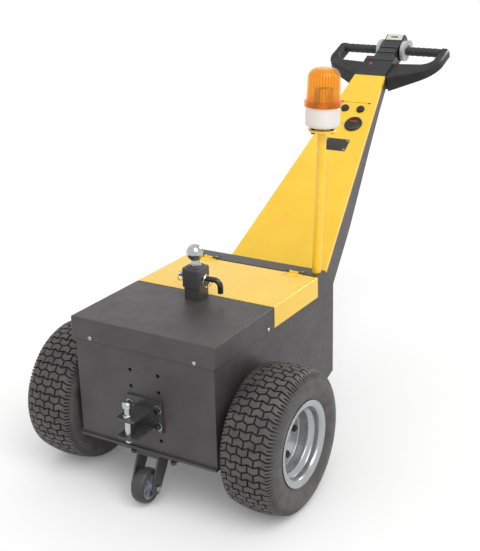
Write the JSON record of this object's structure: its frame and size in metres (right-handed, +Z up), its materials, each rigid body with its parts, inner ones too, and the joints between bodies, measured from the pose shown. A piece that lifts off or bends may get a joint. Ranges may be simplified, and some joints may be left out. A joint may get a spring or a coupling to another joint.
{
  "type": "walk-behind electric tow tractor",
  "caption": "Walk-behind electric tow tractor with a box body, raised control handle, hitch ball, pin clevis, beacon post, fat drive tyres and small castors.",
  "frame": {"origin": "centre of the plan box, on the floor", "axes": "+Z up, -Y towards the hitch end, +Y towards the handle, X across the machine"},
  "size_m": [0.8102, 1.7506, 1.1118],
  "materials": {
    "charcoal_paint": "satin powder coat",
    "yellow_paint": "gloss powder coat",
    "zinc": "bright zinc plate",
    "castor_paint": "black stoved paint",
    "steel": "bare machined steel",
    "motor": "black enamel",
    "battery_case": "moulded case",
    "black_plastic": "fine grained moulding",
    "grip_rubber": "ribbed",
    "grey_plastic": "smooth",
    "white_plastic": "smooth",
    "red_plastic": "gloss",
    "gauge_face": "gloss black window",
    "chrome": "polished",
    "amber_lens": "clear amber moulding",
    "lamp": "clear bulb and socket",
    "mirror": "bright reflector",
    "castor_rubber": "smooth",
    "castor_hub": "moulded",
    "tyre": "black rubber",
    "rim_silver": "silver paint"
  },
  "bodies": {
    "chassis": {"body_shell": "charcoal_paint", "front_plate": "charcoal_paint", "front_cover": "charcoal_paint", "neck_shell": "charcoal_paint", "post_beam": "charcoal_paint", "hitch_bracket": "charcoal_paint", "ball_post": "charcoal_paint", "ball_collar": "charcoal_paint", "neck_panel": "yellow_paint", "beacon_post": "yellow_paint", "beacon_flange": "yellow_paint", "lid_hinges": "zinc", "bracket_bolts": "zinc", "front_castor_axle": "zinc", "rear_castor_plate": "zinc", "front_castor_fork": "castor_paint", "collar_pin": "castor_paint", "drive_axle": "steel", "drive_motor": "motor", "batteries": "battery_case", "handle_frame": "black_plastic", "head_housing": "black_plastic", "panel_caps": "black_plastic", "panel_plate": "black_plastic", "grips": "grip_rubber", "throttles": "grey_plastic", "beacon_base": "white_plastic", "head_plate": "white_plastic", "stop_button": "red_plastic", "gauge": "gauge_face", "hitch_ball": "chrome", "key_switch": "chrome", "beacon_lens": "amber_lens", "beacon_lamp": "lamp"},
    "wheel_left": {"tyre_left": "tyre", "rim_left": "rim_silver", "hub_left": "steel"},
    "wheel_right": {"tyre_right": "tyre", "rim_right": "rim_silver", "hub_right": "steel"},
    "front_castor_wheel": {"front_castor_tyre": "castor_rubber", "front_castor_hub": "castor_hub"},
    "rear_castor_swivel": {"rear_castor_fork": "castor_paint", "rear_castor_axle": "zinc"},
    "rear_castor_wheel": {"rear_castor_tyre": "castor_rubber", "rear_castor_hub": "castor_hub"},
    "lid": {"battery_lid": "yellow_paint"},
    "tow_pin_body": {"tow_pin": "zinc"},
    "beacon_spinner": {"beacon_reflector": "mirror"}
  },
  "joints": [
    {"name": "wheel_left_spin", "type": "hinge", "parent": "chassis", "child": "wheel_left", "pos_m": [-0.323, -0.6222, 0.203], "axis": [1, 0, 0], "continuous": true},
    {"name": "wheel_right_spin", "type": "hinge", "parent": "chassis", "child": "wheel_right", "pos_m": [0.323, -0.6222, 0.203], "axis": [1, 0, 0], "continuous": true},
    {"name": "front_castor_spin", "type": "hinge", "parent": "chassis", "child": "front_castor_wheel", "pos_m": [0, -0.7982, 0.057], "axis": [1, 0, 0], "continuous": true},
    {"name": "rear_castor_swing", "type": "hinge", "parent": "chassis", "child": "rear_castor_swivel", "pos_m": [0, -0.1922, 0.13], "axis": [0, 0, 1], "continuous": true},
    {"name": "rear_castor_spin", "type": "hinge", "parent": "rear_castor_swivel", "child": "rear_castor_wheel", "pos_m": [0, -0.1522, 0.05], "axis": [1, 0, 0], "continuous": true},
    {"name": "lid_open", "type": "hinge", "parent": "chassis", "child": "lid", "pos_m": [0, -0.2187, 0.513], "axis": [-1, 0, 0], "range_deg": [0, 80]},
    {"name": "tow_pin_lift", "type": "slide", "parent": "chassis", "child": "tow_pin_body", "axis": [0, 0, 1], "range_m": [0, 0.08]},
    {"name": "beacon_turn", "type": "hinge", "parent": "chassis", "child": "beacon_spinner", "pos_m": [0.2045, -0.1812, 0.51], "axis": [0.034, 0.015, 0.9993], "continuous": true}
  ]
}
